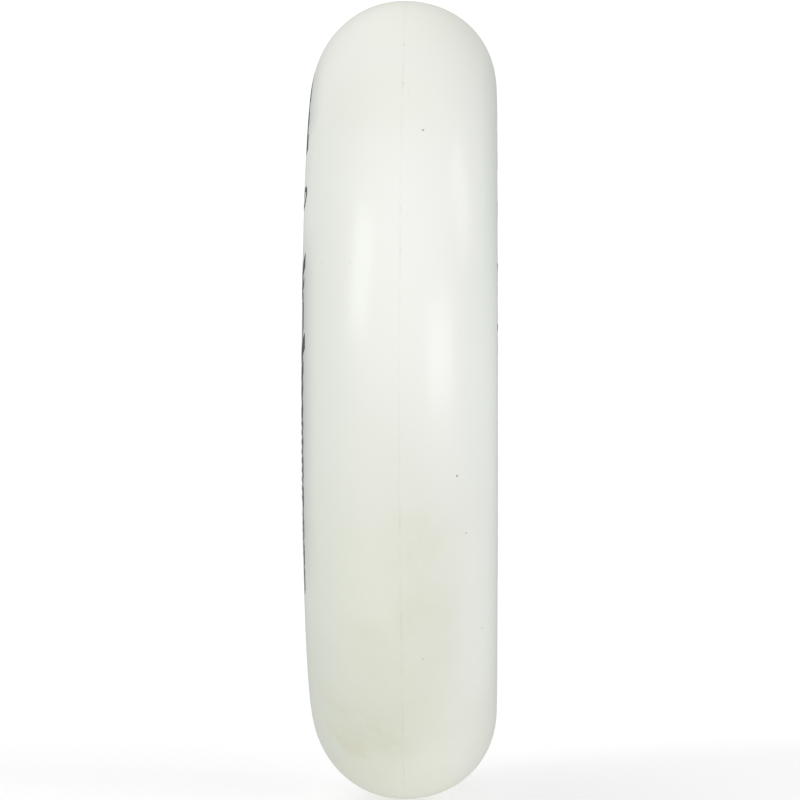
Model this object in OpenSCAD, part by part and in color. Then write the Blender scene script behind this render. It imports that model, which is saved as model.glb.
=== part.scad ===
// Scooter wheel: a polyurethane tyre moulded on to a nylon hub, which
// runs on two sealed ball bearings with a spacer tube between them.
// Millimetres. The origin is the wheel's centre, the axle lies along Y
// and the printed side of the tyre faces -Y.

/* [Tyre] */
// Diameter over the tread
wheel_d = 100; // [98:0.5:104]
// Width of the tyre at its widest
tyre_w = 23; // [22.8:0.1:24]
// Radius at which the tyre's sidewall meets the hub's rim
tyre_root_r = 31.2; // [30:0.1:32]
// Half width of the tyre where it meets the rim
tyre_root_y = 9.6; // [9:0.1:10]

/* [Hub] */
// Width over the bearing boss
boss_w = 22.8; // [22.2:0.1:22.9]
// Outer radius of the bearing boss
boss_r = 14.6; // [14:0.1:15.5]
// Inner radius of the hub's rim
rim_in_r = 27.4; // [26.5:0.1:28]
// Half width of the spoke disc
disc_y = 6.4; // [5:0.1:7]
// Number of spokes
spokes = 6; // [5:1:8]
// Thickness of one spoke
spoke_w = 5.4; // [4.5:0.1:6.5]
// Fillet radius in the corners of the windows
window_fillet = 2.4; // [1.5:0.1:2.6]
// Fillet radius where the spoke disc meets the boss and the rim
disc_fillet = 1.3; // [0.6:0.1:1.6]

/* [Bearings] */
// Bore of the bearings
bore_d = 8; // [7.8:0.1:8.2]
// Length of the spacer between the bearings
spacer_len = 9; // [8.4:0.1:9.2]
// Outer diameter of the spacer
spacer_d = 10; // [9.6:0.1:11]
// Play between a ball and its races
ball_play = 0.02; // [0.02:0.005:0.04]

/* [Hidden] */
$fn = 120;

// Tyre: the crown is a full round, and an arc tangent to it falls in to the rim
wheel_r = wheel_d / 2;
crown_r = tyre_w / 2;
crown_c = wheel_r - crown_r;
side_dr = crown_c - tyre_root_r;
side_dy = crown_r - tyre_root_y;
side_r = (side_dr * side_dr + side_dy * side_dy) / (2 * side_dy);

// Key under the tyre: a T-shaped rib that the tyre is moulded round
key_neck_y = 3;
key_head_y = 5;
key_neck_r = tyre_root_r + 1.1;
key_head_r = tyre_root_r + 2.4;

// Bearing 8 x 22 x 7 with seven balls of 5/32 inch
ring_w = 7;
ring_d = 22;
seat_r = ring_d / 2 + 0.01;
shoulder_r = 9.3;
balls = 7;
ball_r = 1.984;
pitch_r = 7.5;
groove_r = 2.06;
land_in_r = 6.05;
land_out_r = 8.95;
recess_r = 9.6;
seal_rim_r = 9.9;
step = 360 / balls;
bearing_y = spacer_len / 2 + ring_w / 2;

// Turns a profile drawn with radius along X and width along Y about the axle
module turned() {
    rotate([-90, 0, 0]) rotate_extrude() children();
}

// Puts a bearing piece on the left (side = -1) or the right (side = 1), with
// the piece's positive width facing outwards
module on_side(side) {
    if (side > 0) translate([0, bearing_y, 0]) children();
    else mirror([0, 1, 0]) translate([0, bearing_y, 0]) children();
}

// A rectangle from radius a to radius b and from width c to width d
module band(a, b, c, d) {
    translate([a, c]) square([b - a, d - c]);
}

module tyre() {
    color([0.93, 0.93, 0.9])
    turned() difference() {
        union() {
            // crown
            intersection() {
                translate([crown_c, 0]) circle(r = crown_r);
                band(crown_c, wheel_r + 1, -tyre_w, tyre_w);
            }
            // sidewalls
            intersection() {
                translate([crown_c, crown_r - side_r]) circle(r = side_r);
                translate([crown_c, side_r - crown_r]) circle(r = side_r);
                band(tyre_root_r, crown_c, -tyre_w, tyre_w);
            }
        }
        // room for the hub's key
        band(tyre_root_r - 1, key_neck_r, -key_neck_y, key_neck_y);
        band(key_neck_r, key_head_r, -key_head_y, key_head_y);
    }
}

// One corner of a window, drawn for the window's upper side: the sliver
// between the corner and its fillet. r is the arc's radius, out is 1 for the
// outer arc and -1 for the inner one.
module corner(r, out) {
    f = window_fillet;
    a = 180 / spokes;
    h = spoke_w / 2;
    u = [cos(a), sin(a)];
    n = [sin(a), -cos(a)];
    rc = r - out * f;
    c = u * sqrt(rc * rc - (h + f) * (h + f)) + n * (h + f);
    ray = c / norm(c);
    far = r + out * 2;
    difference() {
        polygon([c, c - n * f, u * sqrt(far * far - h * h) + n * h, u * sqrt(far * far - h * h) + n * (h - 1), ray * far]);
        translate(c) circle(r = f);
    }
}

// The opening between two spokes, centred on X
module window() {
    a = 180 / spokes;
    h = spoke_w / 2;
    r1 = boss_r + disc_fillet + 0.5;
    r2 = rim_in_r - disc_fillet - 0.3;
    u = [cos(a), sin(a)];
    n = [sin(a), -cos(a)];
    s = h / sin(a);
    e = r2 + 12;
    difference() {
        intersection() {
            circle(r = r2);
            polygon([[s, 0], n * h + u * e, [n[0] * h + u[0] * e, -(n[1] * h + u[1] * e)]]);
        }
        circle(r = r1);
        for (m = [0, 1]) mirror([0, m]) {
            corner(r2, 1);
            corner(r1, -1);
        }
    }
}

// One of the two ring-shaped hollows between boss and rim, with a fillet at
// each side of its floor
module hollow() {
    f = disc_fillet;
    difference() {
        band(boss_r, rim_in_r, disc_y, boss_w);
        difference() {
            band(boss_r - 1, boss_r + f, disc_y - 1, disc_y + f);
            translate([boss_r + f, disc_y + f]) circle(r = f);
        }
        difference() {
            band(rim_in_r - f, rim_in_r + 1, disc_y - 1, disc_y + f);
            translate([rim_in_r - f, disc_y + f]) circle(r = f);
        }
    }
}

// The hub's section: boss, spoke disc, rim and key
module hub_profile() {
    b = boss_w / 2;
    y = tyre_root_y;
    difference() {
        union() {
            // boss and rim, with small chamfers where they face each other
            polygon([
                [shoulder_r, -b], [boss_r - 0.5, -b], [boss_r, -b + 0.5], [rim_in_r, -y + 0.6], [rim_in_r + 0.6, -y], [tyre_root_r, -y],
                [tyre_root_r, y], [rim_in_r + 0.6, y], [rim_in_r, y - 0.6], [boss_r, b - 0.5], [boss_r - 0.5, b], [shoulder_r, b]
            ]);
            band(tyre_root_r - 0.5, key_neck_r, -key_neck_y, key_neck_y);
            band(key_neck_r, key_head_r, -key_head_y, key_head_y);
        }
        for (s = [0, 1]) mirror([0, s]) {
            hollow();
            // bearing seat with a lead-in chamfer
            band(0, seat_r, spacer_len / 2, boss_w);
            polygon([[seat_r - 1, b + 1], [seat_r - 1, b - 0.4], [seat_r, b - 0.4], [seat_r + 0.4, b], [seat_r + 0.4, b + 1]]);
        }
    }
}

module hub() {
    color([0.88, 0.88, 0.86])
    difference() {
        turned() hub_profile();
        rotate([-90, 0, 0]) for (i = [0:spokes - 1]) rotate([0, 0, (i + 0.5) * 360 / spokes])
            translate([0, 0, -disc_y - 1]) linear_extrude(2 * disc_y + 2) window();
    }
}

module bearing_spacer() {
    w = spacer_len / 2;
    r = bore_d / 2;
    color("silver")
    turned() polygon([
        [r + 0.2, -w], [spacer_d / 2 - 0.3, -w], [spacer_d / 2, -w + 0.3],
        [spacer_d / 2, w - 0.3], [spacer_d / 2 - 0.3, w], [r + 0.2, w],
        [r, w - 0.2], [r, -w + 0.2]
    ]);
}

module outer_ring() {
    w = ring_w / 2;
    r = ring_d / 2;
    color([0.72, 0.73, 0.75])
    turned() difference() {
        polygon([[land_out_r, -w], [r - 0.35, -w], [r, -w + 0.35], [r, w - 0.35], [r - 0.35, w], [land_out_r, w]]);
        translate([pitch_r + ball_r + ball_play - groove_r, 0]) circle(r = groove_r);
        for (s = [-1, 1]) scale([1, s]) {
            band(land_out_r - 1, recess_r, 2.75, w + 1);
            band(recess_r - 0.1, seal_rim_r, 2.75, 3.15);
        }
    }
}

module inner_ring() {
    w = ring_w / 2;
    r = bore_d / 2;
    color([0.72, 0.73, 0.75])
    turned() difference() {
        polygon([
            [r, -w + 0.3], [r + 0.3, -w], [land_in_r - 0.15, -w], [land_in_r, -w + 0.15],
            [land_in_r, w - 0.15], [land_in_r - 0.15, w], [r + 0.3, w], [r, w - 0.3]
        ]);
        translate([pitch_r - ball_r - ball_play + groove_r, 0]) circle(r = groove_r);
    }
}

// Crown cage: a ring with seven pockets, open towards the outside
module cage() {
    color([0.93, 0.9, 0.8])
    difference() {
        turned() band(6.6, 8.4, -2.65, 0.75);
        for (i = [0:balls - 1]) rotate([0, i * step, 0]) {
            translate([pitch_r, 0, 0]) rotate([90, 0, 0]) rotate([0, 90, 0]) sphere(r = ball_r + 0.05);
            rotate([0, step / 2, 0]) translate([6, -0.9, -0.6]) cube([3, 3, 1.2]);
        }
    }
}

// Rubber seal: its rim sits in the outer ring, its lip runs on the inner ring
module seal() {
    color([0.12, 0.12, 0.13])
    turned() polygon([
        [land_in_r + 0.07, 2.95], [land_in_r + 0.07, 3.2], [land_in_r + 0.45, 3.36], [8.75, 3.36],
        [9.15, 3.13], [seal_rim_r - 0.02, 3.13], [seal_rim_r - 0.02, 2.77], [9.0, 2.77], [8.7, 2.9],
        [land_in_r + 0.6, 2.9], [land_in_r + 0.35, 2.84]
    ]);
}

module ball(i) {
    color([0.8, 0.81, 0.83])
    rotate([0, (i - 1) * step, 0]) translate([pitch_r, 0, 0]) sphere(r = ball_r);
}

module left_outer_ring() { on_side(-1) outer_ring(); }
module left_inner_ring() { on_side(-1) inner_ring(); }
module left_cage() { on_side(-1) cage(); }
module left_outer_seal() { on_side(-1) seal(); }
module left_inner_seal() { on_side(-1) mirror([0, 1, 0]) seal(); }
module left_ball(i) { on_side(-1) ball(i); }
module right_outer_ring() { on_side(1) outer_ring(); }
module right_inner_ring() { on_side(1) inner_ring(); }
module right_cage() { on_side(1) cage(); }
module right_outer_seal() { on_side(1) seal(); }
module right_inner_seal() { on_side(1) mirror([0, 1, 0]) seal(); }
module right_ball(i) { on_side(1) ball(i); }

tyre();
hub();
bearing_spacer();
left_outer_ring();
left_inner_ring();
left_cage();
left_outer_seal();
left_inner_seal();
left_ball(1);  // left_ball_1
left_ball(2);  // left_ball_2
left_ball(3);  // left_ball_3
left_ball(4);  // left_ball_4
left_ball(5);  // left_ball_5
left_ball(6);  // left_ball_6
left_ball(7);  // left_ball_7
right_outer_ring();
right_inner_ring();
right_cage();
right_outer_seal();
right_inner_seal();
right_ball(1);  // right_ball_1
right_ball(2);  // right_ball_2
right_ball(3);  // right_ball_3
right_ball(4);  // right_ball_4
right_ball(5);  // right_ball_5
right_ball(6);  // right_ball_6
right_ball(7);  // right_ball_7
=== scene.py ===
import math

import bmesh
import bpy
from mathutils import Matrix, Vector


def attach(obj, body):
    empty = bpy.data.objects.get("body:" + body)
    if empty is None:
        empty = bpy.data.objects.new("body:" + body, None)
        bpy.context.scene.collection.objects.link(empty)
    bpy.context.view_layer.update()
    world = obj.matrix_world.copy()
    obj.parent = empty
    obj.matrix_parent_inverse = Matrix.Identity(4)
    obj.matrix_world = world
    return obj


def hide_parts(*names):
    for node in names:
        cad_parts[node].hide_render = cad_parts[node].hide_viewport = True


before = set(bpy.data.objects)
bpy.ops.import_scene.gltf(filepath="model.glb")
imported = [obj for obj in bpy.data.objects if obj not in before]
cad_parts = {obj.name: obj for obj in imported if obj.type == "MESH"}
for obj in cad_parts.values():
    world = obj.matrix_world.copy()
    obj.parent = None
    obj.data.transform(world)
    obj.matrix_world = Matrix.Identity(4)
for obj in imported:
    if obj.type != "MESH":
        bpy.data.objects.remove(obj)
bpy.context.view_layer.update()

MM = 0.001

# ---------------------------------------------------------------- sizes, in mm
WHEEL_R = 50.0
CROWN_R = 11.47            # a hair under the tyre's half width
CROWN_C = 38.5             # radius of the crown arc's centre
SIDE_R = 15.04             # arc of the sidewall, tangent to the crown
ROOT_R, ROOT_Y = 31.2, 9.6  # where the tyre meets the rim
BEARING_Y = 8.0


# ---------------------------------------------------------------- outline of the tyre
def side_y(r):
    """Half width of the tyre's sidewall at radius r, below the crown."""
    return CROWN_R - SIDE_R + math.sqrt(SIDE_R ** 2 - (CROWN_C - r) ** 2)


def parting_y(a):
    """Where the parting line runs: the two halves of the mould meet a little off the middle."""
    return 0.23 - 0.05 * math.cos(4 * a)


def crown_r(y):
    """Radius of the tread at y: nearly a half circle, a little fuller on the right."""
    u = min(1.0, abs(y) / CROWN_R)
    n = 2.05 + 0.08 * y / CROWN_R
    return CROWN_C + CROWN_R * max(0.0, 1 - u ** n) ** (1 / n)


# ---------------------------------------------------------------- mesh helpers
def new_object(name, bm, smooth_angle=None):
    bmesh.ops.recalc_face_normals(bm, faces=bm.faces)
    mesh = bpy.data.meshes.new(name)
    bm.to_mesh(mesh)
    bm.free()
    obj = bpy.data.objects.new(name, mesh)
    bpy.context.scene.collection.objects.link(obj)
    mesh.polygons.foreach_set("use_smooth", [True] * len(mesh.polygons))
    if smooth_angle is not None:
        limit = math.radians(smooth_angle)
        edit = bmesh.new()
        edit.from_mesh(mesh)
        for e in edit.edges:
            e.smooth = not (len(e.link_faces) == 2 and e.calc_face_angle(0.0) > limit)
        edit.to_mesh(mesh)
        edit.free()
    mesh.update()
    return obj


def rounded(points, n=5):
    """A closed profile of (r, y, fillet) corners as a list of (r, y), with n segments to each fillet."""
    out = []
    count = len(points)
    for i, (r, y, f) in enumerate(points):
        here = Vector((r, y))
        if f <= 0:
            out.append((r, y))
            continue
        before = Vector(points[i - 1][:2]) - here
        after = Vector(points[(i + 1) % count][:2]) - here
        before.normalize()
        after.normalize()
        half = before.angle(after) / 2
        reach = f / math.tan(half)
        centre = here + (before + after).normalized() * (f / math.sin(half))
        start, end = here + before * reach, here + after * reach
        a0 = math.atan2(start.y - centre.y, start.x - centre.x)
        a1 = math.atan2(end.y - centre.y, end.x - centre.x)
        turn = (a1 - a0 + math.pi) % (2 * math.pi) - math.pi
        for k in range(n + 1):
            a = a0 + turn * k / n
            out.append((centre.x + f * math.cos(a), centre.y + f * math.sin(a)))
    return out


def lathe(name, profile, segments, shift=0.0, mirror=1.0, tweak=None, smooth_angle=35):
    """Turns a closed (r, y) profile in mm about the axle."""
    bm = bmesh.new()
    rings = []
    for s in range(segments):
        a = 2 * math.pi * s / segments
        ca, sa = math.cos(a), math.sin(a)
        ring = []
        for r, y in profile:
            if tweak:
                r, y = tweak(r, y, a)
            ring.append(bm.verts.new((r * ca * MM, (shift + y) * mirror * MM, r * sa * MM)))
        rings.append(ring)
    n = len(profile)
    for s in range(segments):
        here, there = rings[s], rings[(s + 1) % segments]
        for i in range(n):
            j = (i + 1) % n
            bm.faces.new((here[i], here[j], there[j], there[i]))
    return new_object(name, bm, smooth_angle)


def wave(a, seed):
    """A smooth, repeatable, wandering number from 0 to 1 along the angle a."""
    v = 0.0
    for k, (m, w) in enumerate(((3, 0.5), (7, 0.8), (13, 1.0), (29, 0.8), (53, 0.5))):
        v += w * math.sin(m * a + seed * (k + 1.7) + 2.1 * k)
    return 0.5 + 0.5 * v / 3.6


# ---------------------------------------------------------------- node helpers
class Nodes:
    """Builds one procedural material. Positions are in mm, in the object's own space."""

    def __init__(self, name):
        self.material = bpy.data.materials.new(name)
        self.material.use_nodes = True
        self.tree = self.material.node_tree
        self.tree.nodes.clear()
        self.out = self.tree.nodes.new("ShaderNodeOutputMaterial")
        self.shader = self.tree.nodes.new("ShaderNodeBsdfPrincipled")
        self.tree.links.new(self.shader.outputs[0], self.out.inputs["Surface"])
        coord = self.tree.nodes.new("ShaderNodeTexCoord")
        self.pos = self.vector("SCALE", coord.outputs["Object"], scale=1000.0)
        split = self.tree.nodes.new("ShaderNodeSeparateXYZ")
        self.tree.links.new(self.pos, split.inputs[0])
        self.x, self.y, self.z = split.outputs
        self.r = self.math("SQRT", self.add(self.mul(self.x, self.x), self.mul(self.z, self.z)))

    def _set(self, socket, value):
        if isinstance(value, bpy.types.NodeSocket):
            self.tree.links.new(value, socket)
        elif value is not None:
            socket.default_value = value

    def put(self, socket, value):
        self._set(self.shader.inputs[socket], value)

    def math(self, op, a, b=None, c=None, clamp=False):
        n = self.tree.nodes.new("ShaderNodeMath")
        n.operation = op
        n.use_clamp = clamp
        for s, v in zip(n.inputs, (a, b, c)):
            self._set(s, v)
        return n.outputs[0]

    def add(self, a, b):
        return self.math("ADD", a, b)

    def sub(self, a, b):
        return self.math("SUBTRACT", a, b)

    def mul(self, a, b, clamp=False):
        return self.math("MULTIPLY", a, b, clamp=clamp)

    def vector(self, op, a, b=None, scale=None):
        n = self.tree.nodes.new("ShaderNodeVectorMath")
        n.operation = op
        self._set(n.inputs[0], a)
        if b is not None:
            self._set(n.inputs[1], b)
        if scale is not None:
            n.inputs["Scale"].default_value = scale
        return n.outputs["Value"] if op in ("LENGTH", "DISTANCE", "DOT_PRODUCT") else n.outputs[0]

    def combine(self, x, y, z):
        n = self.tree.nodes.new("ShaderNodeCombineXYZ")
        for s, v in zip(n.inputs, (x, y, z)):
            self._set(s, v)
        return n.outputs[0]

    def ranged(self, value, a, b, lo=0.0, hi=1.0, smooth=True):
        n = self.tree.nodes.new("ShaderNodeMapRange")
        n.interpolation_type = "SMOOTHSTEP" if smooth else "LINEAR"
        self._set(n.inputs["Value"], value)
        for s, v in (("From Min", a), ("From Max", b), ("To Min", lo), ("To Max", hi)):
            n.inputs[s].default_value = v
        return n.outputs["Result"]

    def noise(self, scale, detail=3.0, rough=0.5, vector=None, distortion=0.0):
        n = self.tree.nodes.new("ShaderNodeTexNoise")
        self._set(n.inputs["Vector"], vector or self.pos)
        n.inputs["Scale"].default_value = scale
        n.inputs["Detail"].default_value = detail
        n.inputs["Roughness"].default_value = rough
        n.inputs["Distortion"].default_value = distortion
        return n.outputs[0]

    def voronoi(self, scale, vector=None):
        n = self.tree.nodes.new("ShaderNodeTexVoronoi")
        self._set(n.inputs["Vector"], vector or self.pos)
        n.inputs["Scale"].default_value = scale
        return n.outputs["Distance"], n.outputs["Color"]

    def mix(self, factor, a, b):
        n = self.tree.nodes.new("ShaderNodeMix")
        n.data_type = "RGBA"
        n.clamp_factor = True
        self._set(n.inputs[0], factor)
        for s, v in ((n.inputs[6], a), (n.inputs[7], b)):
            if isinstance(v, bpy.types.NodeSocket):
                self._set(s, v)
            else:
                s.default_value = (*v, 1.0)
        return n.outputs[2]

    def bump(self, height, distance_mm, strength=1.0, normal=None):
        n = self.tree.nodes.new("ShaderNodeBump")
        n.inputs["Strength"].default_value = strength
        n.inputs["Distance"].default_value = distance_mm * MM
        self._set(n.inputs["Height"], height)
        if normal is not None:
            self._set(n.inputs["Normal"], normal)
        return n.outputs[0]


def dress(obj, nodes):
    obj.data.materials.clear()
    obj.data.materials.append(nodes.material)


# ---------------------------------------------------------------- materials
# Marks on the tread, as (y, z, size) in mm and how dark
SPECKS = [
    (2.73, 31.19, 0.20, 0.80), (6.75, -9.12, 0.19, 0.80), (7.77, -15.73, 0.15, 0.60), (9.62, -27.07, 0.15, 0.50),
    (2.74, -30.53, 0.15, 0.40), (-7.01, -37.07, 0.15, 0.35), (-9.02, 15.61, 0.13, 0.30), (-5.56, 15.48, 0.13, 0.30),
    (0.28, 42.34, 0.16, 0.45), (0.31, 37.11, 0.13, 0.40),
]


def tyre_material():
    n = Nodes("tyre_polyurethane")
    ay = n.math("ABSOLUTE", n.y)
    # colour: off-white that wanders a little, darker and yellower in one broad patch low on the tread
    slow = n.noise(0.028, 2.0, 0.5)
    cloud = n.noise(0.11, 4.0, 0.55, vector=n.vector("ADD", n.pos, (40.0, 13.0, -7.0)))
    colour = n.mix(n.ranged(slow, 0.35, 0.68), TYRE_A, TYRE_B)
    toward = n.mul(n.add(n.mul(n.x, 0.643), n.mul(n.z, -0.766)), 0.02)
    low = n.mul(n.ranged(toward, 0.53, 1.02), n.ranged(cloud, 0.1, 0.75, 0.55, 1.0))
    colour = n.mix(n.mul(low, 0.62), colour, TYRE_LOW_TONE)
    # stains: a tan one low on the left of the tread, olive ones beside it and above it, yellowing near the top,
    # and a few guessed ones round the back
    for centre, size, paint, amount in (
        ((24.0, -6.6, -41.4), 5.0, (0.62, 0.59, 0.38), 0.54),
        ((30.0, -8.6, -37.0), 4.0, (0.64, 0.62, 0.43), 0.24),
        ((29.8, -3.8, -39.6), 7.0, (0.57, 0.57, 0.42), 0.30),
        ((27.0, -0.6, -42.0), 4.5, (0.56, 0.56, 0.42), 0.20),
        ((46.6, 2.6, -16.8), 6.5, (0.60, 0.62, 0.44), 0.22),
        ((42.8, 2.6, -24.2), 5.8, (0.61, 0.62, 0.44), 0.28),
        ((40.8, -2.8, -28.2), 6.5, (0.62, 0.63, 0.48), 0.20),
        ((35.5, 1.5, 34.8), 9.5, (0.76, 0.77, 0.60), 0.22),
        ((33.0, -7.5, 36.0), 8.0, (0.76, 0.75, 0.61), 0.14),
        ((47.5, -8.0, 2.0), 7.0, (0.66, 0.67, 0.55), 0.10),
        ((-35.0, 3.0, -33.0), 9.0, (0.62, 0.58, 0.43), 0.22),
        ((-46.0, -4.0, 14.0), 9.0, (0.60, 0.61, 0.46), 0.18),
        ((-8.0, -4.0, 49.0), 8.0, (0.62, 0.60, 0.48), 0.16),
        ((-30.0, 6.0, 38.0), 6.0, (0.58, 0.55, 0.42), 0.16),
    ):
        near = n.ranged(n.vector("DISTANCE", n.pos, centre), 0.0, size, 1.0, 0.0)
        blot = n.mul(near, n.ranged(n.noise(0.45, 4.0, 0.6), 0.3, 0.65, 0.35, 1.0))
        colour = n.mix(n.mul(blot, amount), colour, paint)
    # painted shade: the sidewalls are painted a little greyer and bluer than the tread, for the shade at the tyre's
    # sides
    side = n.mul(n.ranged(n.r, 43.5, 38.2), n.ranged(ay, 9.8, 11.3))
    colour = n.mix(n.mul(side, SIDE_PAINTED_SHADE), colour, (0.50, 0.54, 0.55))
    # faint scuffs, drawn out along the tread
    angle = n.mul(n.math("ARCTAN2", n.z, n.x), 50.0)
    along = n.combine(n.mul(angle, 0.35), n.mul(n.y, 1.6), 0.0)
    scratch = n.ranged(n.noise(0.9, 4.0, 0.65, vector=along), 0.60, 0.76)
    where = n.ranged(n.noise(0.09, 2.0, 0.5, vector=n.vector("ADD", n.pos, (5.0, -31.0, 22.0))), 0.5, 0.66)
    scuff = n.mul(scratch, where)
    colour = n.mix(n.mul(scuff, 0.10), colour, (0.42, 0.42, 0.36))
    # the parting line holds a little dirt, here and there
    where_line = n.sub(0.23, n.mul(n.math("COSINE", n.mul(angle, 0.08)), 0.05))
    line = n.ranged(n.math("ABSOLUTE", n.sub(n.y, where_line)), 0.03, 0.20, 1.0, 0.0)
    line = n.mul(line, n.ranged(n.r, 48.0, 49.0))
    here = n.combine(angle, 0.0, 0.0)
    patchy = n.ranged(n.noise(0.50, 5.0, 0.75, vector=here), 0.38, 0.72, 0.06, 1.0)
    patchy = n.mul(patchy, n.ranged(n.noise(0.085, 2.0, 0.5, vector=here), 0.42, 0.60, 0.22, 1.0))
    colour = n.mix(n.mul(n.mul(line, patchy), 0.24), colour, (0.34, 0.33, 0.27))
    # the polyurethane is a little translucent, so the ink on the left throws a soft blue-grey shade round the shoulder
    fold = n.math("ARCTANGENT", n.math("DIVIDE", n.z, n.x))
    shade = n.mul(n.ranged(fold, math.radians(30), math.radians(18)), n.ranged(fold, math.radians(-36), math.radians(-20)))
    shade = n.mul(shade, n.ranged(fold, math.radians(-16), math.radians(-4), 0.85, 1.25))
    upper = n.mul(n.ranged(fold, math.radians(45), math.radians(52)), n.ranged(fold, math.radians(86), math.radians(72)))
    shade = n.math("MAXIMUM", shade, upper)
    shade = n.mul(shade, n.math("POWER", n.ranged(n.y, -8.9, -11.47, smooth=False), 2.5))
    shade = n.mul(shade, n.ranged(n.r, 38.2, 40.6, 0.3, 1.0))
    colour = n.mix(n.mul(shade, INK_SHADE), colour, (0.05, 0.12, 0.17))
    # painted shade: the upper right shoulder a little darker, for the light falling off there
    upper_right_painted_shade = n.mul(n.ranged(n.y, 9.6, 11.47, smooth=False), n.mul(n.ranged(n.z, 6.0, 24.0), n.ranged(n.r, 37.0, 39.5)))
    colour = n.mix(n.mul(upper_right_painted_shade, 0.17), colour, (0.30, 0.34, 0.34))
    # painted light: a faint teal tint on the right shoulder, for bluish light from that side
    right_painted_teal_light = n.mul(n.ranged(n.y, 8.0, 10.2), n.mul(n.ranged(n.z, -14.0, -2.0), n.ranged(n.z, 38.0, 28.0)))
    colour = n.mix(n.mul(right_painted_teal_light, 0.08), colour, (0.60, 0.79, 0.64))
    # painted light: a paler strip low on the right shoulder, where it is lit more
    pale = n.mul(n.ranged(n.y, 5.4, 8.2), n.ranged(n.y, 11.0, 9.8))
    pale = n.mul(pale, n.mul(n.ranged(n.z, -12.0, -20.0), n.ranged(n.z, -36.5, -31.0)))
    colour = n.mix(n.mul(pale, 0.15), colour, (0.86, 0.85, 0.83))
    # specks of dirt in the moulding
    speck = None
    for sy, sz, size, deep in SPECKS:
        sx = math.sqrt(crown_r(sy) ** 2 - sz ** 2)
        spot = n.ranged(n.vector("DISTANCE", n.pos, (sx, sy, sz)), size * 0.45, size, deep, 0.0)
        speck = spot if speck is None else n.math("MAXIMUM", speck, spot)
    dot, shade = n.voronoi(0.16)
    rare = n.tree.nodes.new("ShaderNodeSeparateColor")
    n.tree.links.new(shade, rare.inputs[0])
    few = n.mul(n.ranged(dot, 0.012, 0.03, 1.0, 0.0), n.math("GREATER_THAN", rare.outputs[0], 0.80))
    speck = n.math("MAXIMUM", speck, n.mul(few, 0.6))
    colour = n.mix(n.mul(speck, 0.75), colour, (0.10, 0.10, 0.08))
    n.put("Base Color", colour)
    # satin: a little smoother where handled
    rough = n.add(TYRE_ROUGH, n.mul(n.sub(n.noise(0.22, 3.0, 0.55), 0.5), 0.10))
    n.put("Roughness", rough)
    n.put("IOR", 1.5)
    # orange peel of the mould, a fine grain, and the specks as tiny pits
    peel = n.bump(n.noise(0.55, 3.0, 0.5), 0.010)
    grain = n.bump(n.noise(7.0, 2.0, 0.5), 0.0012, normal=peel)
    marks = n.bump(n.mul(speck, -1.0), 0.010, normal=grain)
    n.put("Normal", marks)
    return n


def ink_material():
    n = Nodes("sidewall_ink")
    worn = n.ranged(n.noise(1.6, 5.0, 0.7), 0.50, 0.72)
    colour = n.mix(n.mul(worn, 0.55), (0.012, 0.013, 0.015), (0.16, 0.165, 0.17))
    n.put("Base Color", colour)
    n.put("Roughness", n.add(0.42, n.mul(n.noise(3.0, 3.0, 0.6), 0.15)))
    n.put("Normal", n.bump(n.noise(5.0, 3.0, 0.6), 0.003))
    return n


def nylon_material():
    n = Nodes("hub_nylon")
    slow = n.noise(0.05, 3.0, 0.55)
    fine = n.noise(2.2, 3.0, 0.6)
    colour = n.mix(n.ranged(slow, 0.35, 0.65), (0.72, 0.725, 0.705), (0.665, 0.67, 0.64))
    colour = n.mix(n.mul(n.ranged(fine, 0.45, 0.7), 0.10), colour, (0.58, 0.585, 0.55))
    # flow marks from the gates, fanning out over the spokes
    flow = n.noise(0.28, 2.0, 0.5, distortion=1.2)
    colour = n.mix(n.mul(n.ranged(flow, 0.5, 0.62), 0.10), colour, (0.78, 0.78, 0.75))
    # a little grey in the hollows beside boss and rim
    deep = n.ranged(n.math("ABSOLUTE", n.y), 8.4, 6.5)
    nook = n.math("MAXIMUM", n.ranged(n.r, 17.0, 14.8), n.ranged(n.r, 25.2, 27.3))
    colour = n.mix(n.mul(n.mul(deep, nook), 0.16), colour, (0.40, 0.40, 0.37))
    n.put("Base Color", colour)
    n.put("Roughness", n.add(0.40, n.mul(n.noise(0.8, 3.0, 0.5), 0.16)))
    n.put("IOR", 1.53)
    n.put("Normal", n.bump(n.noise(9.0, 2.0, 0.5), 0.004, normal=n.bump(n.noise(0.5, 3.0, 0.5), 0.012)))
    return n


def ground_steel(name, dark=0.0, ring_scale=5.5, rough=0.22):
    n = Nodes(name)
    rings = n.noise(ring_scale, 4.0, 0.65, vector=n.combine(n.r, n.mul(n.y, 0.9), 0.0))
    smear = n.noise(0.5, 3.0, 0.6)
    base = (0.60 - dark, 0.61 - dark, 0.625 - dark)
    colour = n.mix(n.ranged(rings, 0.3, 0.7), base, tuple(c * 0.84 for c in base))
    colour = n.mix(n.mul(n.ranged(smear, 0.5, 0.75), 0.35), colour, tuple(c * 0.78 for c in base))
    n.put("Base Color", colour)
    n.put("Metallic", 1.0)
    n.put("Roughness", n.add(rough, n.mul(n.noise(1.2, 4.0, 0.6), 0.16)))
    n.put("Normal", n.bump(rings, 0.004))
    return n


def ball_material():
    n = Nodes("ball_steel")
    haze = n.noise(1.4, 4.0, 0.6)
    n.put("Base Color", n.mix(n.ranged(haze, 0.4, 0.7), (0.70, 0.71, 0.73), (0.60, 0.61, 0.63)))
    n.put("Metallic", 1.0)
    n.put("Roughness", n.add(0.05, n.mul(haze, 0.08)))
    n.put("Normal", n.bump(n.noise(8.0, 3.0, 0.6), 0.0006))
    return n


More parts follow.
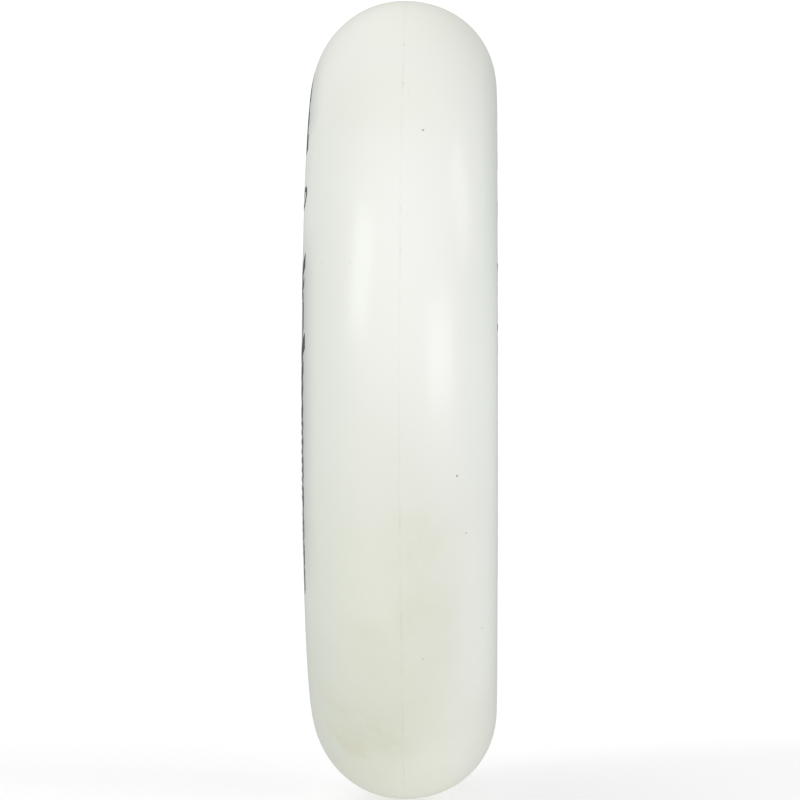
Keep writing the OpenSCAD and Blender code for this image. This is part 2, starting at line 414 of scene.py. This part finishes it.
def rubber_material():
    n = Nodes("seal_rubber")
    dust = n.noise(0.9, 5.0, 0.65)
    colour = n.mix(n.mul(n.ranged(dust, 0.5, 0.75), 0.5), (0.018, 0.018, 0.02), (0.055, 0.054, 0.052))
    colour = n.mix(n.mul(n.ranged(n.r, 6.9, 6.15), 0.35), colour, (0.06, 0.055, 0.045))
    n.put("Base Color", colour)
    n.put("Roughness", n.add(0.46, n.mul(dust, 0.2)))
    n.put("Normal", n.bump(n.noise(6.0, 3.0, 0.6), 0.006))
    return n


def cage_material():
    n = Nodes("cage_nylon")
    tone = n.noise(0.7, 3.0, 0.6)
    n.put("Base Color", n.mix(tone, (0.72, 0.66, 0.50), (0.64, 0.58, 0.42)))
    n.put("Roughness", n.add(0.42, n.mul(tone, 0.2)))
    n.put("Normal", n.bump(n.noise(5.0, 3.0, 0.6), 0.006))
    return n


TYRE_A = (0.800, 0.800, 0.760)
TYRE_B = (0.780, 0.782, 0.735)
TYRE_LOW_TONE = (0.660, 0.665, 0.560)
SIDE_PAINTED_SHADE = 0.24
TYRE_ROUGH = 0.24
INK_SHADE = 0.42
FLOOR_GLOW = (0.20, 0.31)   # near the wheel, lower there as a painted shadow, and far off

tyre_mat = tyre_material()
ink_mat = ink_material()
nylon_mat = nylon_material()
ring_mat = ground_steel("ring_steel")
spacer_mat = ground_steel("spacer_steel", 0.08, 3.0, 0.30)
ball_mat = ball_material()
rubber_mat = rubber_material()
cage_mat = cage_material()


# ---------------------------------------------------------------- tyre
def tyre_profile():
    # parting line: a low ridge where the two halves of the mould met
    top = [(crown_r(y), y) for y in (0.0, 0.05, 0.10, 0.16, 0.24)]
    for k in range(1, 61):
        a = math.radians(1.2 + (90 - 1.2) * k / 60)
        top.append((CROWN_C + CROWN_R * math.cos(a), CROWN_R * math.sin(a)))
    steps = 22
    for k in range(1, steps + 1):
        r = CROWN_C + (ROOT_R + 0.35 - CROWN_C) * k / steps
        top.append((r, side_y(r)))
    y_root = side_y(ROOT_R + 0.35)
    # the rolled lip that meets the rim, then the hidden seat round the hub's key
    top += [(ROOT_R + 0.20, y_root - 0.07), (ROOT_R + 0.08, y_root - 0.19), (ROOT_R + 0.02, y_root - 0.34), (ROOT_R, ROOT_Y - 0.6)]
    top += [(ROOT_R, 7.0), (ROOT_R, 3.0), (ROOT_R + 1.1, 3.0), (ROOT_R + 1.1, 5.0), (ROOT_R + 2.4, 5.0), (ROOT_R + 2.4, 2.0)]
    other = [(r, -y) for r, y in reversed(top) if y > 0]
    return top + other


def tyre_tweak(r, y, a):
    if r <= CROWN_C:
        return r, y
    moved = y + parting_y(a) * max(0.0, 1 - (y / 5) ** 2)
    shape = max(0.0, 1 - (y / 0.15) ** 2)
    return crown_r(moved) + 0.028 * shape * (0.15 + 0.85 * wave(a, 3.0)), moved


tyre = lathe("tyre_moulding", tyre_profile(), 480, tweak=tyre_tweak, smooth_angle=50)
dress(tyre, tyre_mat)
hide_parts("tyre")
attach(tyre, "wheel")


# ---------------------------------------------------------------- sidewall marks
def on_tyre(r, lift, side):
    """Point (r, y) on the tyre's side (-1 left, 1 right) at radius r, lifted off the surface."""
    if r > CROWN_C:
        # solve the crown's outline for y at this radius
        lo, hi = 0.0, CROWN_R
        for _ in range(40):
            mid = (lo + hi) / 2
            if crown_r(side * mid) > r:
                lo = mid
            else:
                hi = mid
        y = lo
        slope = (r - CROWN_C) / CROWN_R
        return r + lift * slope, side * (y + lift * math.sqrt(1 - slope ** 2))
    a = math.asin((CROWN_C - r) / SIDE_R)
    return CROWN_C - (SIDE_R + lift) * math.sin(a), side * (CROWN_R - SIDE_R + (SIDE_R + lift) * math.cos(a))


def mark(bm, a0, a1, r0, r1, side=-1, lean=0.0):
    """One printed bar between two angles (degrees, at its outer end) and two radii, as a thin closed skin."""
    na = max(2, int(abs(a1 - a0) / 0.5) + 1)
    nr = max(3, int((r1 - r0) / 0.4) + 1)
    layers = []
    for lift in (0.016, -0.05):
        grid = []
        for i in range(na + 1):
            row = []
            for j in range(nr + 1):
                rr = r0 + (r1 - r0) * j / nr
                a = math.radians(a0 + (a1 - a0) * i / na + lean * (r1 - rr))
                r, y = on_tyre(rr, lift, side)
                row.append(bm.verts.new((r * math.cos(a) * MM, y * MM, r * math.sin(a) * MM)))
            grid.append(row)
        layers.append(grid)
    for grid in layers:
        for i in range(na):
            for j in range(nr):
                bm.faces.new((grid[i][j], grid[i + 1][j], grid[i + 1][j + 1], grid[i][j + 1]))
    up, dn = layers
    for i in range(na):
        for j in (0, nr):
            bm.faces.new((up[i][j], up[i + 1][j], dn[i + 1][j], dn[i][j]))
    for j in range(nr):
        for i in (0, na):
            bm.faces.new((up[i][j], up[i][j + 1], dn[i][j + 1], dn[i][j]))


def ring_mark(bm, a0, r0, radius, width, side=-1):
    """One printed ring with its centre at angle a0 (degrees) and radius r0, as a thin closed skin."""
    around, across = 40, 3
    layers = []
    for lift in (0.016, -0.05):
        grid = []
        for i in range(around):
            t = 2 * math.pi * i / around
            row = []
            for j in range(across + 1):
                reach = radius - width * j / across
                r, y = on_tyre(r0 + reach * math.sin(t), lift, side)
                a = math.radians(a0) + reach * math.cos(t) / r0
                row.append(bm.verts.new((r * math.cos(a) * MM, y * MM, r * math.sin(a) * MM)))
            grid.append(row)
        layers.append(grid)
    up, dn = layers
    for i in range(around):
        k = (i + 1) % around
        for grid in layers:
            for j in range(across):
                bm.faces.new((grid[i][j], grid[k][j], grid[k][j + 1], grid[i][j + 1]))
        for j in (0, across):
            bm.faces.new((up[i][j], up[k][j], dn[k][j], dn[i][j]))


def printing(bm, turn, side, inward):
    """A plain band of bars, arcs and ticks round part of the sidewall."""
    out = 41.0 - inward
    ring_mark(bm, turn + 35.8, out - 0.80, 1.45, 0.62, side)
    for a0, a1, length, beyond in (
        (21.5, 24.0, 5.0, 0.60), (18.5, 20.0, 3.0, 0.10), (7.7, 10.3, 5.0, 0.75),
        (3.8, 5.9, 4.2, 0.10), (1.1, 2.7, 3.4, 0.00), (-2.4, -0.6, 2.6, -0.05),
    ):
        mark(bm, turn + a0, turn + a1, out + beyond - length, out + beyond, side, -0.9)
    mark(bm, turn - 34.6, turn + 17.4, out - 0.56, out - 0.20, side)
    for a0, a1 in ((11.2, 15.6), (-5.3, -4.1), (-8.2, -6.7), (-13.3, -9.8), (-18.2, -14.9), (-23.6, -20.4), (-28.6, -25.0), (-33.6, -29.6)):
        mark(bm, turn + a0, turn + a1, out - 0.18, out + 0.02, side)
    for k in range(9):
        mark(bm, turn - 4.0 - 1.6 * k, turn - 4.8 - 1.6 * k, out - (3.0 if k % 4 == 0 else 2.1), out - 0.95, side)
    for k in range(6):
        mark(bm, turn - 20.2 - 1.5 * k, turn - 20.8 - 1.5 * k, out - 4.2, out - 1.6, side)
    mark(bm, turn + 46.0, turn + 78.0, out - 0.75, out - 0.10, side)
    mark(bm, turn + 45.8, turn + 50.0, out - 0.07, out + 0.30, side)
    mark(bm, turn + 53.2, turn + 57.0, out - 0.07, out + 0.20, side)
    mark(bm, turn + 61.0, turn + 80.0, out + 0.02, out + 0.34, side)


marks = bmesh.new()
for turn in (0.0, 180.0):
    printing(marks, turn, -1, 0.0)
    printing(marks, turn, 1, 2.8)
    for a in (11.9, 22.8):
        mark(marks, turn + a - 0.45, turn + a + 0.45, 38.4, 39.9, 1)
print_marks = new_object("sidewall_marks", marks, 40)
dress(print_marks, ink_mat)
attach(print_marks, "wheel")


# ---------------------------------------------------------------- hub
BOSS_R, RIM_IN_R, DISC_Y, BOSS_Y = 14.6, 27.4, 6.4, 11.4
SPOKES, SPOKE_H, WIN_F = 6, 2.7, 2.4
WIN_R1, WIN_R2 = BOSS_R + 1.3 + 0.5, RIM_IN_R - 1.3 - 0.3
HUB_SEG = 360


def window_outline(grow):
    """The outline of one window about X, made larger by grow: (x, z) points, always the same number."""
    h, f = SPOKE_H - grow, WIN_F + grow
    r1, r2 = WIN_R1 - grow, WIN_R2 + grow
    a = math.pi / SPOKES
    u, n = Vector((math.cos(a), math.sin(a))), Vector((math.sin(a), -math.cos(a)))
    c_out = u * math.sqrt((r2 - f) ** 2 - (h + f) ** 2) + n * (h + f)
    c_in = u * math.sqrt((r1 + f) ** 2 - (h + f) ** 2) + n * (h + f)

    def arc(c, r, a0, a1, k):
        return [(c[0] + r * math.cos(a0 + (a1 - a0) * i / k), c[1] + r * math.sin(a0 + (a1 - a0) * i / k)) for i in range(k + 1)]

    side = math.atan2(-n.y, -n.x)            # from a fillet's centre towards the spoke
    out_dir = math.atan2(c_out.y, c_out.x)
    in_dir = math.atan2(c_in.y, c_in.x)
    upper = arc((0, 0), r2, 0.0, out_dir, 9)[:-1]
    upper += arc(c_out, f, out_dir, side, 7)
    upper += arc(c_in, f, side, in_dir + math.pi, 7)
    upper += arc((0, 0), r1, in_dir, 0.0, 7)[1:]
    lower = [(x, -y) for x, y in reversed(upper[1:-1])]
    return upper + lower


def half_round(n=4):
    """Steps of a rounded edge: (how far the edge is opened, how far below the face)."""
    return [(1 - math.sin(math.pi / 2 * k / n), 1 - math.cos(math.pi / 2 * k / n)) for k in range(n + 1)]


def hub_mesh():
    bm = bmesh.new()
    seg = HUB_SEG

    def ring(r, y):
        return [bm.verts.new((r * math.cos(2 * math.pi * s / seg) * MM, y * MM, r * math.sin(2 * math.pi * s / seg) * MM)) for s in range(seg)]

    def strip(rings):
        for a, b in zip(rings, rings[1:]):
            for s in range(seg):
                t = (s + 1) % seg
                bm.faces.new((a[s], a[t], b[t], b[s]))

    def fillet(cr, cy, f, a0, a1, k):
        return [(cr + f * math.cos(math.radians(a0 + (a1 - a0) * i / k)), cy + f * math.sin(math.radians(a0 + (a1 - a0) * i / k))) for i in range(k + 1)]

    # outer side of one half: from the disc's flat, up the rim, over it and down to the key
    e = 0.35
    out = [(WIN_R2 + 0.7 - 0.3, DISC_Y)]
    out = fillet(RIM_IN_R - 1.3, DISC_Y + 1.3, 1.3, -90, 0, 7)
    out += fillet(RIM_IN_R + 0.5, ROOT_Y - 0.5, 0.5, 180, 90, 5)
    out += [(29.4, ROOT_Y)] + fillet(ROOT_R - 0.22, ROOT_Y - 0.22, 0.22, 90, 0, 4)
    out += [(ROOT_R, 7.0), (ROOT_R, 3.0), (ROOT_R + 1.1, 3.0), (ROOT_R + 1.1, 5.0), (ROOT_R + 2.4, 5.0)]
    inn = fillet(BOSS_R + 1.3, DISC_Y + 1.3, 1.3, 270, 180, 7)
    inn += fillet(BOSS_R - 0.45, BOSS_Y - 0.45, 0.45, 0, 90, 5)
    inn += [(13.2, BOSS_Y), (11.42, BOSS_Y), (11.3, BOSS_Y - 0.08), (11.02, BOSS_Y - 0.4), (11.01, 8.0), (11.01, 4.5), (9.5, 4.5), (9.3, 4.3), (9.3, 1.5)]
    for prof in (out, inn):
        full = prof + [(r, -y) for r, y in reversed(prof)]
        strip([ring(r, y) for r, y in full])
    bm.verts.ensure_lookup_table()

    # window walls, with rounded edges, then the flats between
    per_window = []
    for w in range(SPOKES):
        a = 2 * math.pi * (w + 0.5) / SPOKES
        ca, sa = math.cos(a), math.sin(a)
        loops = []
        steps = [(g * e, d * e) for g, d in half_round(4)]
        levels = [(g, DISC_Y - d) for g, d in steps] + [(g, -(DISC_Y - d)) for g, d in reversed(steps)]
        for g, y in levels:
            loops.append([bm.verts.new(((x * ca - z * sa) * MM, y * MM, (x * sa + z * ca) * MM)) for x, z in window_outline(g)])
        for p, q in zip(loops, loops[1:]):
            k = len(p)
            for i in range(k):
                j = (i + 1) % k
                bm.faces.new((p[i], p[j], q[j], q[i]))
        per_window.append((loops[0], loops[-1]))
    # a shallow round mark of the mould's ejector pin on each spoke
    for w in range(SPOKES):
        a = 2 * math.pi * w / SPOKES
        for sign in (1, -1):
            cx, cz = 22.2 * math.cos(a), 22.2 * math.sin(a)
            loops = []
            for radius, depth in ((1.30, 0.0), (1.26, 0.03), (1.22, 0.14), (1.10, 0.16)):
                loops.append([bm.verts.new((
                    (cx + radius * math.cos(2 * math.pi * k / 36)) * MM, sign * (DISC_Y - depth) * MM,
                    (cz + radius * math.sin(2 * math.pi * k / 36)) * MM)) for k in range(36)])
            for p, q in zip(loops, loops[1:]):
                for k in range(36):
                    bm.faces.new((p[k], p[(k + 1) % 36], q[(k + 1) % 36], q[k]))
            bm.faces.new(loops[-1])
    bmesh.ops.remove_doubles(bm, verts=bm.verts, dist=1e-8)
    # the two flats: everything on the disc's face that still has an open edge
    for sign in (1, -1):
        edges = [
            ed for ed in bm.edges
            if len(ed.link_faces) == 1 and all(abs(v.co.y - sign * DISC_Y * MM) < 1e-9 for v in ed.verts)
        ]
        bmesh.ops.triangle_fill(bm, use_beauty=True, use_dissolve=False, edges=edges, normal=(0, sign, 0))
    return bm


hub = new_object("hub_moulding", hub_mesh(), 42)
keep = hub.modifiers.new("even_shading", "WEIGHTED_NORMAL")
keep.keep_sharp = True
keep.weight = 80
dress(hub, nylon_mat)
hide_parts("hub")
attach(hub, "wheel")


# ---------------------------------------------------------------- bearings
def groove(centre, out, steps=12):
    """The ball groove of a ring, from its right edge to its left edge. It opens inwards (out = 1) or outwards (out = -1)."""
    points = []
    for k in range(steps + 1):
        t = math.radians(43.02 * (1 - 2 * k / steps))
        points.append((centre + out * 2.06 * math.cos(t), 2.06 * math.sin(t), 0))
    return points


def bearing(side, sign):
    outer = rounded([
        (8.95, -2.75, 0), (9.9, -2.75, 0), (9.9, -3.15, 0), (9.6, -3.15, 0), (9.6, -3.5, 0.08), (11.0, -3.5, 0.35),
        (11.0, 3.5, 0.35), (9.6, 3.5, 0.08), (9.6, 3.15, 0), (9.9, 3.15, 0), (9.9, 2.75, 0), (8.95, 2.75, 0),
    ] + groove(7.444, 1), 6)
    o = lathe(f"{side}_outer_ring_turned", outer, 200, BEARING_Y, sign)
    dress(o, ring_mat)
    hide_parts(f"{side}_outer_ring")
    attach(o, "wheel")

    inner = rounded([
        (4.0, 3.5, 0.28), (4.0, -3.5, 0.28), (6.05, -3.5, 0.14),
    ] + groove(7.556, -1)[::-1] + [
        (6.05, 3.5, 0.14),
    ], 6)
    i = lathe(f"{side}_inner_ring_turned", inner, 160, BEARING_Y, sign)
    dress(i, ring_mat)
    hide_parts(f"{side}_inner_ring")
    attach(i, "axle_side")

    seal = rounded([
        (6.12, 2.9, 0), (6.12, 3.2, 0.07), (6.5, 3.35, 0.1), (6.85, 3.35, 0.05), (6.98, 3.25, 0.05), (7.25, 3.25, 0.05), (7.38, 3.35, 0.05),
        (8.75, 3.35, 0.12), (9.15, 3.13, 0.08), (9.58, 3.13, 0), (9.88, 3.13, 0.03), (9.88, 2.78, 0), (9.0, 2.78, 0), (8.7, 2.9, 0),
    ], 4)
    s = lathe(f"{side}_outer_seal_moulded", seal, 200, BEARING_Y, sign)
    dress(s, rubber_mat)
    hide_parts(f"{side}_outer_seal")
    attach(s, "wheel")


bearing("left", -1)
bearing("right", 1)

spacer = lathe("bearing_spacer_turned", rounded([
    (4.0, -4.5, 0.2), (5.0, -4.5, 0.25), (5.0, 4.5, 0.25), (4.0, 4.5, 0.2),
], 4), 128)
dress(spacer, spacer_mat)
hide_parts("bearing_spacer")
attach(spacer, "axle_side")

for name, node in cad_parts.items():
    if "_ball_" in name:
        made = ball_mat
    elif name.endswith("cage"):
        made = cage_mat
    elif name.endswith("inner_seal"):
        made = rubber_mat
    else:
        continue
    for s in node.material_slots:
        s.material = made.material


# ---------------------------------------------------------------- stage
def plain(name, colour, rough, glow):
    m = bpy.data.materials.new(name)
    m.use_nodes = True
    b = m.node_tree.nodes["Principled BSDF"]
    b.inputs["Base Color"].default_value = (*colour, 1)
    b.inputs["Roughness"].default_value = rough
    b.inputs["Specular IOR Level"].default_value = 0.0
    b.inputs["Emission Color"].default_value = (1, 1, 1, 1)
    b.inputs["Emission Strength"].default_value = glow
    return m


def staged(name, bm, material):
    obj = new_object(name, bm)
    obj.data.materials.append(material)
    for ray in ("visible_diffuse", "visible_glossy", "visible_transmission", "visible_volume_scatter", "visible_shadow"):
        setattr(obj, ray, False)
    return obj


# a pale floor under a white backdrop: the light that they would throw back is in the studio light below
bm = bmesh.new()
bmesh.ops.create_circle(bm, cap_ends=True, radius=4.0, segments=96)
for v in bm.verts:
    v.co.z = -0.05005
floor_paint = plain("floor_paint", (0.92, 0.90, 0.95), 0.9, FLOOR_GLOW[0])
tree = floor_paint.node_tree
where = tree.nodes.new("ShaderNodeTexCoord")
reach = tree.nodes.new("ShaderNodeVectorMath")
reach.operation = "LENGTH"
tree.links.new(where.outputs["Object"], reach.inputs[0])
# painted shadow: the floor glows less near the wheel, a soft pool of shade round it
floor_painted_shadow = tree.nodes.new("ShaderNodeMapRange")
floor_painted_shadow.interpolation_type = "SMOOTHERSTEP"
tree.links.new(reach.outputs["Value"], floor_painted_shadow.inputs["Value"])
for socket, value in (("From Min", 0.0), ("From Max", 0.9), ("To Min", FLOOR_GLOW[0]), ("To Max", FLOOR_GLOW[1])):
    floor_painted_shadow.inputs[socket].default_value = value
tree.links.new(floor_painted_shadow.outputs["Result"], tree.nodes["Principled BSDF"].inputs["Emission Strength"])
floor = staged("floor", bm, floor_paint)

bm = bmesh.new()
bmesh.ops.create_uvsphere(bm, u_segments=64, v_segments=32, radius=4.0)
backdrop = staged("backdrop", bm, plain("backdrop_paint", (0.0, 0.0, 0.0), 1.0, 1.05))

scene = bpy.context.scene
scene.view_settings.view_transform = "Standard"
scene.view_settings.look = "None"
scene.view_settings.exposure = 0.0
scene.view_settings.gamma = 1.0


def studio_world(lobes):
    """Soft light from all round: each lobe is (direction, sharpness, colour). Sharpness 0 is even light."""
    world = bpy.data.worlds.new("studio")
    world.use_nodes = True
    tree = world.node_tree
    coord = tree.nodes.new("ShaderNodeTexCoord")
    total = None
    for direction, sharp, colour in lobes:
        scaled = tree.nodes.new("ShaderNodeVectorMath")
        scaled.operation = "SCALE"
        scaled.inputs[0].default_value = colour
        if sharp:
            dot = tree.nodes.new("ShaderNodeVectorMath")
            dot.operation = "DOT_PRODUCT"
            tree.links.new(coord.outputs["Generated"], dot.inputs[0])
            dot.inputs[1].default_value = Vector(direction).normalized()
            front = tree.nodes.new("ShaderNodeMath")
            front.operation = "MAXIMUM"
            tree.links.new(dot.outputs["Value"], front.inputs[0])
            front.inputs[1].default_value = 0.0
            power = tree.nodes.new("ShaderNodeMath")
            power.operation = "POWER"
            tree.links.new(front.outputs[0], power.inputs[0])
            power.inputs[1].default_value = sharp
            tree.links.new(power.outputs[0], scaled.inputs["Scale"])
        else:
            scaled.inputs["Scale"].default_value = 1.0
        if total is None:
            total = scaled.outputs[0]
        else:
            plus = tree.nodes.new("ShaderNodeVectorMath")
            plus.operation = "ADD"
            tree.links.new(total, plus.inputs[0])
            tree.links.new(scaled.outputs[0], plus.inputs[1])
            total = plus.outputs[0]
    tree.links.new(total, tree.nodes["Background"].inputs["Color"])
    tree.nodes["Background"].inputs["Strength"].default_value = 1.0
    scene.world = world
    return world


def softbox(name, azimuth, elevation, distance, width, height, colour):
    """A soft area light aimed at the wheel, of this radiance. Azimuth is from +X towards +Y, seen from the wheel."""
    a, e = math.radians(azimuth), math.radians(elevation)
    d = Vector((math.cos(e) * math.cos(a), math.cos(e) * math.sin(a), math.sin(e)))
    data = bpy.data.lights.new(name, "AREA")
    data.shape = "RECTANGLE"
    data.size, data.size_y = width, height
    top = max(colour)
    data.energy = top * math.pi * width * height
    data.color = [c / top for c in colour]
    obj = bpy.data.objects.new(name, data)
    obj.location = d * distance
    obj.rotation_euler = d.to_track_quat("Z", "Y").to_euler()
    scene.collection.objects.link(obj)
    return obj


LOBES = [
    ((0, 0, 0), 0, (0.279, 0.314, 0.283)),
    ((-0.42, 0.20, 0.88), 5, (0.07, 0.05, 0.02)),
    ((0.22, -0.55, 0.81), 5, (0.22, 0.21, 0.16)),
    ((-0.67, -0.35, 0.65), 5, (0.80, 0.75, 0.72)),
    ((0.79, -0.22, 0.58), 5, (0.91, 0.855, 0.88)),
    ((-0.46, 0.73, 0.50), 5, (0.15, 0.15, 0.13)),
    ((0.75, 0.57, 0.35), 5, (0.80, 0.75, 0.79)),
    ((0.66, -0.73, 0.19), 5, (0.305, 0.34, 0.42)),
    ((-0.16, -0.89, 0.42), 5, (0.00, 0.02, 0.03)),
    ((-0.68, -0.73, 0.04), 5, (0.00, 0.00, 0.06)),
    ((0.52, 0.81, -0.27), 5, (0.365, 0.365, 0.445)),
    ((-0.91, -0.24, -0.35), 5, (0.065, 0.055, 0.015)),
    ((-0.29, 0.81, -0.50), 5, (0.40, 0.395, 0.54)),
    ((-0.31, -0.75, -0.58), 5, (0.40, 0.40, 0.46)),
    ((-0.65, 0.21, -0.73), 5, (0.64, 0.61, 0.585)),
    ((0.29, -0.51, -0.81), 5, (0.875, 0.835, 0.72)),
    ((0.10, 0.46, -0.88), 5, (0.415, 0.40, 0.285)),
    ((0.42, -0.84, -0.35), 9, (0.10, 0.10, 0.09)),
    ((0.58, 0.76, -0.30), 14, (0.12, 0.11, 0.19)),
]
studio_world(LOBES)
left_box = softbox("softbox_left", -50, 30.5, 1.1, 0.45, 0.60, (1.92, 1.92, 1.94))
right_box = softbox("softbox_right", 45.0, 10.3, 1.1, 0.56, 0.50, (1.78, 1.78, 1.80))
far_box = softbox("softbox_far_right", 91, 37, 1.1, 0.38, 0.44, (1.25, 1.25, 1.26))

# ---------------------------------------------------------------- camera
cam_data = bpy.data.cameras.new("camera")
cam = bpy.data.objects.new("camera", cam_data)
scene.collection.objects.link(cam)
scene.camera = cam
cam_data.sensor_width = 36.0
cam_data.lens = 193.43
cam_data.clip_start, cam_data.clip_end = 0.01, 20.0
cam.location = (0.54045, 0.0095, -0.0047)
aim = Vector((0.0, 0.0, 0.0)) - cam.location
cam.rotation_mode = "QUATERNION"
cam.rotation_quaternion = aim.to_track_quat("-Z", "Y")
cam_data.shift_x = -0.0068
cam_data.shift_y = 0.0
